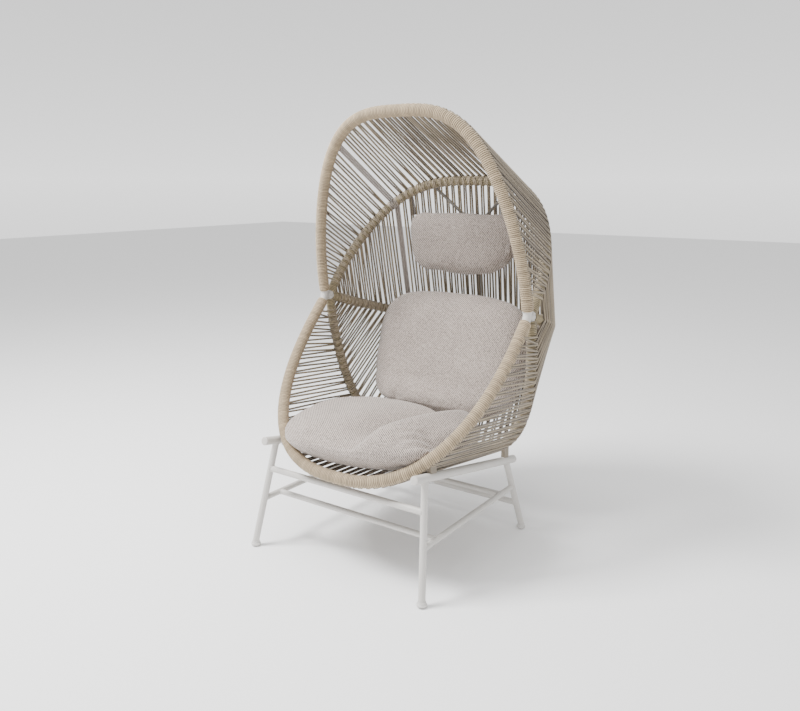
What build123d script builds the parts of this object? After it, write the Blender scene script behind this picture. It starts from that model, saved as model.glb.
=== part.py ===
from build123d import *
import math
import os

import numpy as np

# High-backed pod chair: a basket of five tube hoops strung with cord, standing
# on a welded tube base. Millimetres, +Z up, the sitter faces -Y.
# While it is drawn, y = 0 is the axis through the two side junctions, and the
# finished chair is moved at the end so that its box is centred over the origin.

# ---- Pod: hoops that fan out from a junction at each side ----
pod_half_width = 420.0
hub_setback = 22.0  # the rear hoops start this far behind the front elbow
front_tube = 28.0
rear_tube = 22.0
cord_diameter = 5.5
front_bare = 20.0  # bare tube between the junction and the front wrap
rear_bare = 34.0
hoop_lead = 20.0  # straight start of every hoop past its stub
hoop_runs = 20
tube_sides = 8
wrap_clearance = 0.2

# Each hoop: angle of its plane above the rearward horizontal, distance from
# the junction axis to its crown, and how square its crown and its sides are.
hood_rim_angle = 101.0
hood_rim_rise = 650.0
hood_rim_crown = 3.2
hood_rim_side = 1.6
hood_rear_angle = 52.5
hood_rear_rise = 532.0
hood_rear_crown = 3.0
hood_rear_side = 1.8
arm_angle = -16.8
arm_rise = 419.0
arm_crown = 2.8
arm_side = 2.1
seat_rear_angle = -80.4
seat_rear_rise = 522.0
seat_rear_crown = 5.0
seat_rear_side = 2.0
seat_rim_angle = -133.7
seat_rim_rise = 668.0
seat_rim_crown = 2.5
seat_rim_side = 2.4

# ---- Cord panels strung between neighbouring hoops ----
cords_per_panel = 84
cord_sides = 4
cord_lean = 0.25  # share of a pitch by which neighbouring cords lean together
cord_end_gap = 0.2
first_cord = 0.035  # where the outermost cord stands, as a share of the hoop
# How far the cords fan out towards each panel's second hoop, as a share of it.
canopy_fan = 0.05
upper_back_fan = -0.008
lower_back_fan = -0.025
seat_fan = 0.027

# ---- Back brace behind the cords ----
brace_diameter = 18.0
brace_arm_diameter = 12.0
brace_arm_spread = 175.0
brace_fork_height = 1057.0
brace_overhang = 14.0  # how far the brace runs past the hoops that it is lashed to
brace_bite = 1.0  # how deep its tubes are coped over the hoops' wraps

# ---- Base ----
rail_diameter = 28.0
rail_half_gap = 302.0
rail_front_y = -461.0
rail_rear_y = 163.0
rail_saddle_height = 362.6  # middle of a rail under its front saddle
cap_thickness = 3.0
cap_face = 24.0
cap_sides = 24
leg_diameter = 22.0
front_foot_x = 346.0
front_foot_y = -485.0
rear_foot_x = 343.0
rear_foot_y = 174.0
front_leg_top_y = -406.0
rear_leg_top_y = 109.0
front_bar_height = 272.0
stretcher_height = 168.0
stretcher_diameter = 20.0
crossbar_diameter = 21.0
tie_diameter = 19.0
front_tie_y = -374.0
rear_tie_y = 47.0
rear_bar_height = 104.0
foot_rim = 32.0
foot_sole = 20.0
foot_neck = 26.0
foot_height = 18.0
foot_dome = 6.0
foot_lip = 5.0
foot_shoulder = 1.0
foot_sides = 16

# ---- Saddle blocks and bolts that hold the pod on the rails ----
front_saddle_gap = 57.7  # from the middle of a rail up to the middle of the seat rim
rear_saddle_gap = 68.5  # the same to the rear seat hoop
saddle_length = 30.0
saddle_width = 14.0
saddle_drop = 8.0  # how far its shoulders stay below the middle of the hoop
bolt_diameter = 8.0
bolt_clearance = 0.1
bolt_head = 16.0
bolt_head_height = 6.0
bolt_grip = 8.0  # how far a bolt reaches into its saddle

# ---- Cushions ----
seat_width = 640.0
seat_depth = 500.0
seat_thickness = 140.0
seat_centre_y = -213.0
seat_tilt = -3.0
back_width = 630.0
back_height = 450.0
back_thickness = 150.0
back_centre_z = 600.0
back_tilt = 16.0
pillow_width = 440.0
pillow_height = 221.0
pillow_thickness = 100.0
pillow_centre_z = 1000.0
pillow_tilt = -7.0
pad_outline = 2.6
pad_edge = 2.2
pad_sides = 20
pad_levels = 7
pad_lift = 75.0  # angle at which the crown flattens off
pad_clearance = 0.3
strap_width = 20.0
strap_thickness = 2.0
strap_inset = 25.0  # how far in from the pillow's end a strap leaves it
strap_spread = 55.0  # how much further out it reaches the hoop

# Corners of many-sided sections stand out of the round section they stand for.
corner_share = 1.04
cord_corner_share = 1.12
cord_corner = cord_corner_share * cord_diameter / 2

os.makedirs("parts", exist_ok=True)
nodes = {}


# ---- Small geometry helpers ----
def rod(start, end, diameter):
    """Round bar between two points."""
    start, end = Vector(*start), Vector(*end)
    base = Plane(origin=start, z_dir=end - start)
    return extrude(base * Circle(diameter / 2), (end - start).length)


def skin(rings, holes=None):
    """Closed solid of flat faces through a row of like polygons."""
    faces = []
    for stack in (rings, holes or []):
        for low, high in zip(stack, stack[1:]):
            for k in range(len(low)):
                quad = [low[k - 1], low[k], high[k], high[k - 1]]
                faces.append(make_face(Polyline(*quad, close=True)).face())
    for at in (0, -1):
        end = make_face(Polyline(*rings[at], close=True))
        if holes:
            end = end - make_face(Polyline(*holes[at], close=True))
        faces.append(end.face())
    solid = Solid(Shell(faces))
    return solid if solid.volume > 0 else Solid(solid.wrapped.Reversed())


def turned(base, sides, *outline):
    """Upright solid of many-sided rings, each given as a diameter and a height."""
    rings = []
    for diameter, height in outline:
        ring = []
        for k in range(sides):
            turn = 2 * math.pi * k / sides
            corner = (diameter / 2 * math.cos(turn), diameter / 2 * math.sin(turn), height)
            ring.append(tuple(base.from_local_coords(corner)))
        rings.append(ring)
    return skin(rings)


def mitres(points, flat, diameter):
    """Polygon rings of a tube along a flat route, each on its mitre plane."""
    runs = np.diff(points, axis=0)
    runs /= np.linalg.norm(runs, axis=1)[:, None]
    rings = []
    for k, point in enumerate(points):
        before, after = runs[max(k - 1, 0)], runs[min(k, len(runs) - 1)]
        plane = before + after
        inward = np.cross(before, flat)
        ring = []
        for j in range(tube_sides):
            turn = 2 * math.pi * (j + 0.5) / tube_sides
            spoke = math.cos(turn) * flat + math.sin(turn) * inward
            corner = point + corner_share * diameter / 2 * spoke
            slide = np.dot(point - corner, plane) / np.dot(before, plane)
            ring.append(tuple(float(c) for c in corner + slide * before))
        rings.append(ring)
    return rings


def bent_tube(points, flat, diameter, hole=0.0):
    """Many-sided tube along a route that lies square to the flat direction."""
    holes = mitres(points, flat, hole) if hole else None
    return skin(mitres(points, flat, diameter), holes)


def spot(points, share):
    """Point at a share of a route's length, and the route's direction there."""
    runs = np.diff(points, axis=0)
    lengths = np.linalg.norm(runs, axis=1)
    reach = np.concatenate([[0], np.cumsum(lengths)])
    k = min(int(np.searchsorted(reach, share * reach[-1], side="right")) - 1, len(runs) - 1)
    direction = runs[k] / lengths[k]
    return points[k] + (share * reach[-1] - reach[k]) * direction, direction


def mirrored(part):
    return mirror(part, about=Plane.YZ)


# ---- Hoops ----
def hoop_route(angle, rise, crown, side, bare, setback):
    """Centre line of one hoop round the junctions' axis, from left to right.

    In the hoop's plane it is a superellipse: the half width times the cosine
    to the power 2/crown, and the rise times the sine to the power 2/side.
    """
    turn = np.linspace(0, math.pi, 1441)
    reach = bare + hoop_lead
    across = np.sign(np.cos(turn)) * np.abs(np.cos(turn)) ** (2 / crown)
    out = reach + (rise - reach) * np.abs(np.sin(turn)) ** (2 / side)
    tilt = math.radians(angle)
    outward = np.array([0, math.cos(tilt), math.sin(tilt)])
    middle = np.array([0, setback, 0])
    curve = middle + np.outer(-pod_half_width * across, [1, 0, 0]) + np.outer(out, outward)
    shares = np.linspace(0, 1, hoop_runs + 1)
    bend = np.array([spot(curve, share)[0] for share in shares])
    start = bend[0] - hoop_lead * outward
    end = bend[-1] - hoop_lead * outward
    return np.vstack([start, bend, end])


hoops = {
    "hood_rim": (hood_rim_angle, hood_rim_rise, hood_rim_crown, hood_rim_side, True),
    "hood_rear": (hood_rear_angle, hood_rear_rise, hood_rear_crown, hood_rear_side, False),
    "arm": (arm_angle, arm_rise, arm_crown, arm_side, False),
    "seat_rear": (seat_rear_angle, seat_rear_rise, seat_rear_crown, seat_rear_side, False),
    "seat_rim": (seat_rim_angle, seat_rim_rise, seat_rim_crown, seat_rim_side, True),
}
routes, lengths, normals, wrap_diameters, wraps_full = {}, {}, {}, {}, {}
for name, (angle, rise, crown, side, in_front) in hoops.items():
    bare = front_bare if in_front else rear_bare
    setback = 0.0 if in_front else hub_setback
    routes[name] = hoop_route(angle, rise, crown, side, bare, setback)
    lengths[name] = np.linalg.norm(np.diff(routes[name], axis=0), axis=1).sum()


def crossing(hoop, spread):
    """Point of a hoop's right half at a distance from the middle plane."""
    fine = np.array([spot(routes[hoop], s)[0] for s in np.linspace(0.5, 1, 801)])
    return fine[np.argmin(np.abs(fine[:, 0] - spread))]


# The seat rim stands on the rails, and that sets how high the junctions are.
seat_rim_hang = -crossing("seat_rim", rail_half_gap)[2]
junction_height = rail_saddle_height + front_saddle_gap + seat_rim_hang
for name, (angle, _, _, _, in_front) in hoops.items():
    tube = front_tube if in_front else rear_tube
    route = routes[name] + np.array([0, 0, junction_height])
    inside = tube + 2 * wrap_clearance
    outside = inside + 2 * cord_diameter
    tilt = math.radians(angle)
    normal = np.array([0, -math.sin(tilt), math.cos(tilt)])
    routes[name] = route
    normals[name] = normal
    wrap_diameters[name] = outside
    wraps_full[name] = bent_tube(route, normal, outside)
    nodes[name + "_tube"] = bent_tube(route, normal, tube)
    nodes[name + "_wrap"] = bent_tube(route, normal, outside, inside)


# ---- Side junctions: a front elbow with a hub behind it ----
def stub(angle, length, setback):
    """Foot and tip of a bare tube end that leaves the right junction."""
    tilt = math.radians(angle)
    foot = np.array([pod_half_width, setback, junction_height])
    return foot, foot + length * np.array([0, math.cos(tilt), math.sin(tilt)])


def junction():
    """Right-hand junction: bent front tube, link, hub and three rear stubs."""
    sideways = np.array([1.0, 0, 0])
    centre, upper = stub(hood_rim_angle, front_bare, 0.0)
    lower = stub(seat_rim_angle, front_bare, 0.0)[1]
    body = bent_tube(np.array([upper, centre, lower]), sideways, front_tube)
    hub = centre + np.array([0, hub_setback, 0])
    behind = hub + np.array([0, rear_tube / 2, 0])
    body += bent_tube(np.array([centre, behind]), sideways, rear_tube)
    for angle in (hood_rear_angle, arm_angle, seat_rear_angle):
        body += bent_tube(np.array(stub(angle, rear_bare, hub_setback)), sideways, rear_tube)
    return body.solid()


nodes["junction_right"] = junction()
nodes["junction_left"] = mirrored(nodes["junction_right"])


# ---- Cord panels ----
def wrap_face(hoop, share, way):
    """Flat of a wrap by which a line from the hoop's middle leaves it.

    Gives the hoop's own point, a point of the flat and its outward direction.
    """
    point, tangent = spot(routes[hoop], share)
    flat, inward = normals[hoop], np.cross(tangent, normals[hoop])
    step = 2 * math.pi / tube_sides
    turn = step * round(math.atan2(way @ inward, way @ flat) / step)
    out = math.cos(turn) * flat + math.sin(turn) * inward
    reach = corner_share * wrap_diameters[hoop] / 2 * math.cos(step / 2) + cord_end_gap
    return point + reach * out, out


def strand(first, first_share, second, second_share):
    """Corners of one straight cord at both ends, each end flat on its wrap."""
    start = spot(routes[first], first_share)[0]
    end = spot(routes[second], second_share)[0]
    way = (end - start) / np.linalg.norm(end - start)
    base = Plane(origin=tuple(start), z_dir=tuple(way))
    across, up = np.array(tuple(base.x_dir)), np.array(tuple(base.y_dir))
    turns = 2 * math.pi * np.arange(cord_sides) / cord_sides
    edges = start + cord_corner * (np.outer(np.cos(turns), across) + np.outer(np.sin(turns), up))
    rings = []
    for hoop, share, leaving in ((first, first_share, way), (second, second_share, -way)):
        face, out = wrap_face(hoop, share, leaving)
        ring = edges + np.outer((face - edges) @ out / (way @ out), way)
        # Where the hoop bends under the cord, the end backs off from the next run too.
        middle, tangent = spot(routes[hoop], share)
        beside = share + (ring - middle) @ tangent / lengths[hoop]
        depth = 0.0
        for corner, place in zip(ring, beside):
            other, other_out = wrap_face(hoop, place, leaving)
            depth = max(depth, (other - corner) @ other_out / (leaving @ other_out))
        rings.append([tuple(float(c) for c in corner) for corner in ring + depth * leaving])
    return rings


def panel(first, second, lean, fan):
    """Zigzag of strands between two hoops, in pairs that lean together."""
    lines = []
    for i in range(cords_per_panel):
        sway = lean * (-1) ** i
        near, far = (
            first_cord + (i + 0.5 + s) / cords_per_panel * (1 - 2 * first_cord)
            for s in (sway, -sway)
        )
        far += fan * math.sin(2 * math.pi * far)
        lines.append(strand(first, near, second, far))
    return lines


strands = {
    "canopy_cords": panel("hood_rear", "hood_rim", -cord_lean, canopy_fan),
    "upper_back_cords": panel("hood_rear", "arm", -cord_lean, upper_back_fan),
    "lower_back_cords": panel("arm", "seat_rear", cord_lean, lower_back_fan),
    "seat_cords": panel("seat_rear", "seat_rim", -cord_lean, seat_fan),
}
for name, lines in strands.items():
    nodes[name] = Compound(children=[skin(rings) for rings in lines])


# ---- Back brace: a fork of bare tube lashed behind the upper back ----
def behind(hoop, spread, diameter):
    """Point behind a hoop for the middle of a tube that is coped over it."""
    reach = (corner_share * wrap_diameters[hoop] + diameter) / 2 - brace_bite
    return crossing(hoop, spread) + back_normal * reach


fall = crossing("arm", 0) - crossing("hood_rear", 0)
fall /= np.linalg.norm(fall)
back_normal = np.array([0, -fall[2], fall[1]])
spine_low = behind("arm", 0, brace_diameter)
spine_high = behind("hood_rear", 0, brace_diameter)
arm_high = behind("hood_rear", brace_arm_spread, brace_arm_diameter)
rise = (brace_fork_height - spine_low[2]) / (spine_high[2] - spine_low[2])
fork = spine_low + rise * (spine_high - spine_low)
spine = rod(fork, spine_low + brace_overhang * fall, brace_diameter)
arm_way = (arm_high - fork) / np.linalg.norm(arm_high - fork)
brace_arm = rod(fork, arm_high + brace_overhang * arm_way, brace_arm_diameter) - spine
brace_arm = split(brace_arm, bisect_by=Plane.YZ) - wraps_full["hood_rear"]
nodes["brace_spine"] = (spine - wraps_full["arm"]).solid()
nodes["brace_arm_right"] = max(brace_arm.solids(), key=lambda s: s.volume)
nodes["brace_arm_left"] = mirrored(nodes["brace_arm_right"])

# ---- Base frame ----
front_seat, rear_seat = (crossing(hoop, rail_half_gap) for hoop in ("seat_rim", "seat_rear"))
rail_fall = rear_seat[2] - rear_saddle_gap - rail_saddle_height
rail_slope = rail_fall / (rear_seat[1] - front_seat[1])


def rail_height(y):
    return rail_saddle_height + rail_slope * (y - front_seat[1])


rail_tips = [Vector(rail_half_gap, y, rail_height(y)) for y in (rail_front_y, rail_rear_y)]
rail = rod(rail_tips[0], rail_tips[1], rail_diameter)


def leg_line(foot_x, foot_y, top_y):
    """Axis of a leg, from floor level up to the rail's axis."""
    low = np.array([foot_x, foot_y, 0.0])
    return low, np.array([rail_half_gap, top_y, rail_height(top_y)])


def on_leg(line, height):
    low, high = line
    return low + (high - low) * height / high[2]


front_line = leg_line(front_foot_x, front_foot_y, front_leg_top_y)
rear_line = leg_line(rear_foot_x, rear_foot_y, rear_leg_top_y)
whole_legs, feet = [], []
for place, line in (("front", front_line), ("rear", rear_line)):
    whole = rod(line[0], line[1], leg_diameter)
    leg = split(whole, bisect_by=Plane.XY.offset(foot_height)) - rail
    nodes[f"leg_{place}_right"] = leg.solid()
    nodes[f"leg_{place}_left"] = mirrored(leg.solid())
    whole_legs.append(whole)
    centre = on_leg(line, foot_height)
    foot = turned(
        Plane((centre[0], centre[1], 0)),
        foot_sides,
        (foot_sole, 0),
        (foot_rim, foot_dome),
        (foot_rim, foot_dome + foot_lip),
        (foot_neck, foot_dome + foot_lip + foot_shoulder),
        (foot_neck, foot_height),
    )
    feet += [foot, mirrored(foot)]
nodes["feet"] = Compound(children=feet)


def crossbar(point, diameter, *beside):
    """Level bar from side to side, its ends coped to what it meets."""
    bar = rod((-point[0], point[1], point[2]), (point[0], point[1], point[2]), diameter)
    for neighbour in beside:
        bar = bar - neighbour - mirrored(neighbour)
    return max(bar.solids(), key=lambda s: s.volume)


nodes["front_crossbar"] = crossbar(
    on_leg(front_line, front_bar_height), crossbar_diameter, whole_legs[0]
)
nodes["rear_crossbar"] = crossbar(
    on_leg(rear_line, rear_bar_height), crossbar_diameter, whole_legs[1]
)
ends = [on_leg(line, stretcher_height) for line in (front_line, rear_line)]
whole_stretcher = rod(ends[0], ends[1], stretcher_diameter)
stretcher = whole_stretcher - whole_legs[0] - whole_legs[1]
stretcher = max(stretcher.solids(), key=lambda s: s.volume)
nodes["side_stretcher_right"] = stretcher
nodes["side_stretcher_left"] = mirrored(stretcher)
for name, y in (("front_tie", front_tie_y), ("rear_tie", rear_tie_y)):
    share = (y - ends[0][1]) / (ends[1][1] - ends[0][1])
    point = ends[0] + share * (ends[1] - ends[0])
    nodes[name] = crossbar(point, tie_diameter, whole_stretcher)

# ---- Rail end caps ----
caps = []
for tip, sign in zip(rail_tips, (-1, 1)):
    base = Plane(tip, z_dir=(0, sign, sign * rail_slope))
    cap = turned(base, cap_sides, (rail_diameter, 0), (cap_face, cap_thickness))
    caps += [cap, mirrored(cap)]
nodes["rail_end_caps"] = Compound(children=caps)

# ---- Saddle blocks: the front pair is bolted through the rail, the rear pair welded ----
def saddle(hoop, bore):
    """Block between a rail and the hoop above it, shaped to both."""
    seat = crossing(hoop, rail_half_gap)
    low, high = rail_height(seat[1]), seat[2] - saddle_drop
    block = Box(saddle_width, saddle_length, high - low)
    block = Pos(rail_half_gap, seat[1], (high + low) / 2) * block
    block = block - rail - wraps_full[hoop] - bore
    return min(block.solids(), key=lambda s: s.center().Z)


bolt_y = front_seat[1]
upright = Vector(0, -rail_slope, 1).normalized()
under = Vector(rail_half_gap, bolt_y, rail_height(bolt_y)) - upright * rail_diameter / 2
tip = under + upright * (rail_diameter + bolt_grip)
bore = rod(under - upright, tip + upright * bolt_clearance, bolt_diameter + 2 * bolt_clearance)
head_base = Plane(under, z_dir=upright)
bolt = extrude(head_base * RegularPolygon(bolt_head / 2, 6), -bolt_head_height)
bolt += rod(under, tip, bolt_diameter)
nodes["saddle_bolts"] = Compound(children=[bolt.solid(), mirrored(bolt).solid()])
nodes["saddle_front_right"] = saddle("seat_rim", bore)
nodes["saddle_rear_right"] = saddle("seat_rear", bore)
nodes["rail_right"] = (rail - bore).solid()
for name in ("saddle_front", "saddle_rear", "rail"):
    nodes[name + "_left"] = mirrored(nodes[name + "_right"])


# ---- Cushions: crowned pads that settle against the cords ----
def pad_solid(width, height, thickness):
    """Crowned pad with its face in XY: stacked superellipse outlines."""
    rims = []
    for k in range(pad_levels + 1):
        lift = math.radians(pad_lift * (2 * k / pad_levels - 1))
        spread = math.cos(lift) ** (2 / pad_edge)
        level = thickness / 2 * math.copysign(abs(math.sin(lift)) ** (2 / pad_edge), lift)
        corners = []
        for side in range(pad_sides):
            turn = 2 * math.pi * (side + 0.5) / pad_sides
            c, s = math.cos(turn), math.sin(turn)
            x = width / 2 * spread * math.copysign(abs(c) ** (2 / pad_outline), c)
            y = height / 2 * spread * math.copysign(abs(s) ** (2 / pad_outline), s)
            corners.append((x, y, level))
        rims.append(corners)
    return skin(rims)


def settle(pad, direction, carriers, clearance):
    """Moves a convex pad along a direction until it lies just off its carriers.

    Every face of the pad is a plane. A carrier point is clear when it stands
    outside at least one of those planes by its own radius and the clearance.
    """
    planes = [(f.normal_at(), f.center()) for f in pad.faces()]
    normals = np.array([tuple(n) for n, _ in planes])
    offsets = np.array([n.dot(c) for n, c in planes])
    points = np.vstack([p for p, _ in carriers])
    radii = np.concatenate([np.full(len(p), r) for p, r in carriers])
    way = np.array(tuple(direction))
    outside = points @ normals.T - offsets
    slide = normals @ way
    low, high = -400.0, 400.0
    for _ in range(40):
        middle = (low + high) / 2
        room = (outside - middle * slide).max(axis=1) - radii
        if room.min() > clearance:
            low = middle
        else:
            high = middle
    return pad.moved(Location(Vector(*(way * low))))


def carrier(names, hoop_names):
    """Sample points along strands and wraps, each with its radius."""
    parts = []
    for name in names:
        for start, end in np.array(strands[name]).mean(axis=2):
            shares = np.linspace(0, 1, 40)[:, None]
            parts.append((start + shares * (end - start), cord_corner))
    for name in hoop_names:
        fine = np.array([spot(routes[name], s)[0] for s in np.linspace(0, 1, 400)])
        parts.append((fine, corner_share * wrap_diameters[name] / 2))
    return parts


seat_pad = Rot(seat_tilt, 0, 0) * pad_solid(seat_width, seat_depth, seat_thickness)
seat_pad = Pos(0, seat_centre_y, junction_height) * seat_pad
nodes["seat_cushion"] = settle(
    seat_pad, (0, 0, -1), carrier(["seat_cords"], ["seat_rim", "seat_rear"]), pad_clearance
)
back_pad = Rot(90 - back_tilt, 0, 0) * pad_solid(back_width, back_height, back_thickness)
back_pad = Pos(0, 0, back_centre_z) * back_pad
nodes["back_cushion"] = settle(
    back_pad,
    (0, 1, 0),
    carrier(["upper_back_cords", "lower_back_cords"], ["arm", "seat_rear"]),
    pad_clearance,
)
pillow = Rot(90 - pillow_tilt, 0, 0) * pad_solid(pillow_width, pillow_height, pillow_thickness)
pillow = Pos(0, 0, pillow_centre_z) * pillow
nodes["head_pillow"] = settle(
    pillow, (0, 1, 0), carrier(["upper_back_cords"], ["hood_rear"]), pad_clearance
)

# ---- Pillow straps up to the rear hood hoop ----
pillow = nodes["head_pillow"]
middle = pillow.bounding_box().center()
low = Vector(pillow_width / 2 - strap_inset, middle.Y, middle.Z)
in_front = back_normal * (corner_share * wrap_diameters["hood_rear"] / 2 - strap_thickness)
reach = Vector(*(crossing("hood_rear", low.X + strap_spread) - in_front)) - low
band_plane = Plane(origin=low, x_dir=(reach.Z, 0, -reach.X), z_dir=reach)
band = extrude(band_plane * Rectangle(strap_width, strap_thickness), reach.length)
band = band - pillow - wraps_full["hood_rear"]
band = max(band.solids(), key=lambda s: s.volume)
nodes["pillow_strap_right"] = band
nodes["pillow_strap_left"] = mirrored(band)

# ---- Centre the chair over the origin and write every piece ----
whole = Compound(children=[Compound(children=list(part.solids())) for part in nodes.values()])
box = whole.bounding_box()
home = Pos(0, -(box.min.Y + box.max.Y) / 2, 0)
for name, part in nodes.items():
    export_step(home * part, f"parts/{name}.step")
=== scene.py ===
import math

import bpy
import numpy as np
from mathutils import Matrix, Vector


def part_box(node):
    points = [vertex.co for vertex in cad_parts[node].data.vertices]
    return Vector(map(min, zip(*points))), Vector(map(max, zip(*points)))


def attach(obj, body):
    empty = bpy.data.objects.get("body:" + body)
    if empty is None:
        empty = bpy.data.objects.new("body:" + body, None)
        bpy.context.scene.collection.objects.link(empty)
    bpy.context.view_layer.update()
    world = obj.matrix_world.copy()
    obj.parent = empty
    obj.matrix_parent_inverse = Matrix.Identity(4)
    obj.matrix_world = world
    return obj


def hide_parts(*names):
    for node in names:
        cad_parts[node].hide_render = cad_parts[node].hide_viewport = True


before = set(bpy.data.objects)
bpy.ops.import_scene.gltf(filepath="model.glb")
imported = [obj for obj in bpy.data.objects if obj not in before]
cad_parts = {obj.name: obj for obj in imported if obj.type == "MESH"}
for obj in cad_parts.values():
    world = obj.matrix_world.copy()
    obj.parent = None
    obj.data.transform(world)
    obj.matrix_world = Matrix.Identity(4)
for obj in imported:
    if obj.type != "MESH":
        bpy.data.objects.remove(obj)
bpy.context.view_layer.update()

# ---- Base frame ----
# Two sloping side rails on four splayed legs, tied by crossbars and side
# stretchers. Aluminium tube, welded, then powder coated a warm off-white.


class Socket:
    """One output of a node. Arithmetic on it adds Math nodes beside it."""

    def __init__(self, output):
        self.output = output

    def math(self, operation, *values):
        tree = self.output.id_data
        node = tree.nodes.new("ShaderNodeMath")
        node.operation = operation
        for place, value in zip(node.inputs, values):
            if isinstance(value, Socket):
                tree.links.new(value.output, place)
            else:
                place.default_value = value
        return Socket(node.outputs[0])

    def __add__(self, other):
        return self.math("ADD", self, other)

    def __sub__(self, other):
        return self.math("SUBTRACT", self, other)

    def __rsub__(self, other):
        return self.math("SUBTRACT", other, self)

    def __mul__(self, other):
        return self.math("MULTIPLY", self, other)

    def __pow__(self, other):
        return self.math("POWER", self, other)

    def __abs__(self):
        return self.math("ABSOLUTE", self)

    __radd__ = __add__
    __rmul__ = __mul__


class Finish:
    """A material built round one Principled shader."""

    def __init__(self, name, roughness, **fixed):
        self.material = bpy.data.materials.new(name)
        self.material.use_nodes = True
        self.tree = self.material.node_tree
        self.shader = self.tree.nodes["Principled BSDF"]
        self.feed(self.shader, {"Roughness": roughness, **fixed})

    def feed(self, node, sockets):
        for place, value in sockets.items():
            if isinstance(value, Socket):
                self.tree.links.new(value.output, node.inputs[place])
            else:
                node.inputs[place].default_value = value

    def node(self, kind, settings=None, sockets=None, output=0):
        node = self.tree.nodes.new("ShaderNode" + kind)
        for name, value in (settings or {}).items():
            setattr(node, name, value)
        self.feed(node, sockets or {})
        return Socket(node.outputs[output])

    def mix(self, first, second, share):
        """Colour that goes from the first to the second as share goes from 0 to 1."""
        return self.node("Mix", {"data_type": "RGBA"}, {0: share, 6: first, 7: second}, 2)

    def relief(self, height, distance, strength=1.0):
        """Bump from a height between 0 and 1, as deep as the distance in metres."""
        sockets = {"Height": height, "Distance": distance, "Strength": strength}
        return self.node("Bump", None, sockets)

    def show(self, **sockets):
        self.feed(self.shader, {k.replace("_", " "): v for k, v in sockets.items()})


coat = Finish("powder_coat", 0.48, **{"Coat Weight": 0.08, "Coat Roughness": 0.35})
where = coat.node("TexCoord", output=3)
grain = coat.node("TexNoise", None, {"Vector": where, "Scale": 1400.0, "Detail": 3.0})
cloud = coat.node("TexNoise", None, {"Vector": where, "Scale": 9.0, "Detail": 4.0})
coat_pale, coat_warm = (0.62, 0.60, 0.57, 1), (0.50, 0.48, 0.45, 1)
coat_tone = coat.mix(coat_warm, coat_pale, cloud * 0.55 + grain * 0.45)
coat.show(
    Base_Color=coat_tone,
    Roughness=0.36 + 0.22 * grain,
    Normal=coat.relief(grain, 0.00022, 0.6),
)
coated = [
    "rail_left",
    "rail_right",
    "leg_front_left",
    "leg_front_right",
    "leg_rear_left",
    "leg_rear_right",
    "front_crossbar",
    "rear_crossbar",
    "side_stretcher_left",
    "side_stretcher_right",
    "front_tie",
    "rear_tie",
]
hoop_tubes = [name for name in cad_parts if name.endswith("_tube")]
for name in coated + hoop_tubes:
    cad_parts[name].data.materials.clear()
    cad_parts[name].data.materials.append(coat.material)

# ---- Weld beads ----
# A small even fillet of weld runs round every end where a bar meets the side
# of another, coated with the frame.
centring = 0.01903  # the chair's box is centred, so drawn places move back by this
rail_half_gap = 0.302
rail_radius, leg_radius, bar_radius, stretcher_radius, tie_radius = 0.014, 0.011, 0.0105, 0.010, 0.0095
bead = 0.0022
stretcher_height = 0.168
rail_front = np.array([rail_half_gap, -0.461, 0.38051])
rail_rear = np.array([rail_half_gap, 0.163, 0.25947])
rail_way = (rail_rear - rail_front) / np.linalg.norm(rail_rear - rail_front)


def on_rail(y):
    """Point of the right rail's middle line at a depth."""
    return rail_front + rail_way * (y - rail_front[1]) / rail_way[1]


front_foot, rear_foot = np.array([0.346, -0.485, 0]), np.array([0.343, 0.174, 0])
front_top, rear_top = on_rail(-0.406), on_rail(0.109)


def on_leg(foot, top, height):
    """Point of a leg's middle line at a height."""
    return foot + (top - foot) * height / top[2]


stretcher_front = on_leg(front_foot, front_top, stretcher_height)
stretcher_rear = on_leg(rear_foot, rear_top, stretcher_height)
stretcher_way = stretcher_rear - stretcher_front


def on_stretcher(y):
    """Point of the right stretcher's middle line at a depth."""
    return stretcher_front + stretcher_way * (y - stretcher_front[1]) / stretcher_way[1]


def weld_line(bar_point, bar_way, bar_radius, main_point, main_way, main_radius, turns):
    """Closed line where a round bar meets the side of a round tube.

    Each line of the bar, at an angle round it, runs on until its distance
    from the tube's middle line is the tube's radius: a quadratic's first root.
    """
    bar_way = bar_way / np.linalg.norm(bar_way)
    main_way = main_way / np.linalg.norm(main_way)
    side = np.cross(bar_way, main_way)
    side /= np.linalg.norm(side)
    up = np.cross(bar_way, side)
    start = bar_point + bar_radius * (np.outer(np.cos(turns), side) + np.outer(np.sin(turns), up))
    offset = start - main_point
    offset -= np.outer(offset @ main_way, main_way)
    drift = bar_way - (bar_way @ main_way) * main_way
    a, b = drift @ drift, 2 * offset @ drift
    c = (offset**2).sum(1) - main_radius**2
    slide = (-b - np.sqrt(np.maximum(b * b - 4 * a * c, 0))) / (2 * a)
    return start + slide[:, None] * bar_way


def closed_tubes(lines, radius, sides):
    """Rings round closed lines: centre + radius * (cos * one side + sin * the other).

    The two sides are square to the line's own direction at each point.
    """
    way = np.roll(lines, -1, 1) - np.roll(lines, 1, 1)
    way /= np.linalg.norm(way, axis=2)[..., None]
    first = np.cross(way, np.roll(way, 3, 1))
    first /= np.linalg.norm(first, axis=2)[..., None]
    second = np.cross(way, first)
    turn = np.linspace(0, 2 * math.pi, sides, endpoint=False)
    return (
        lines[:, :, None]
        + radius * np.cos(turn)[:, None] * first[:, :, None]
        + radius * np.sin(turn)[:, None] * second[:, :, None]
    )


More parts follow.
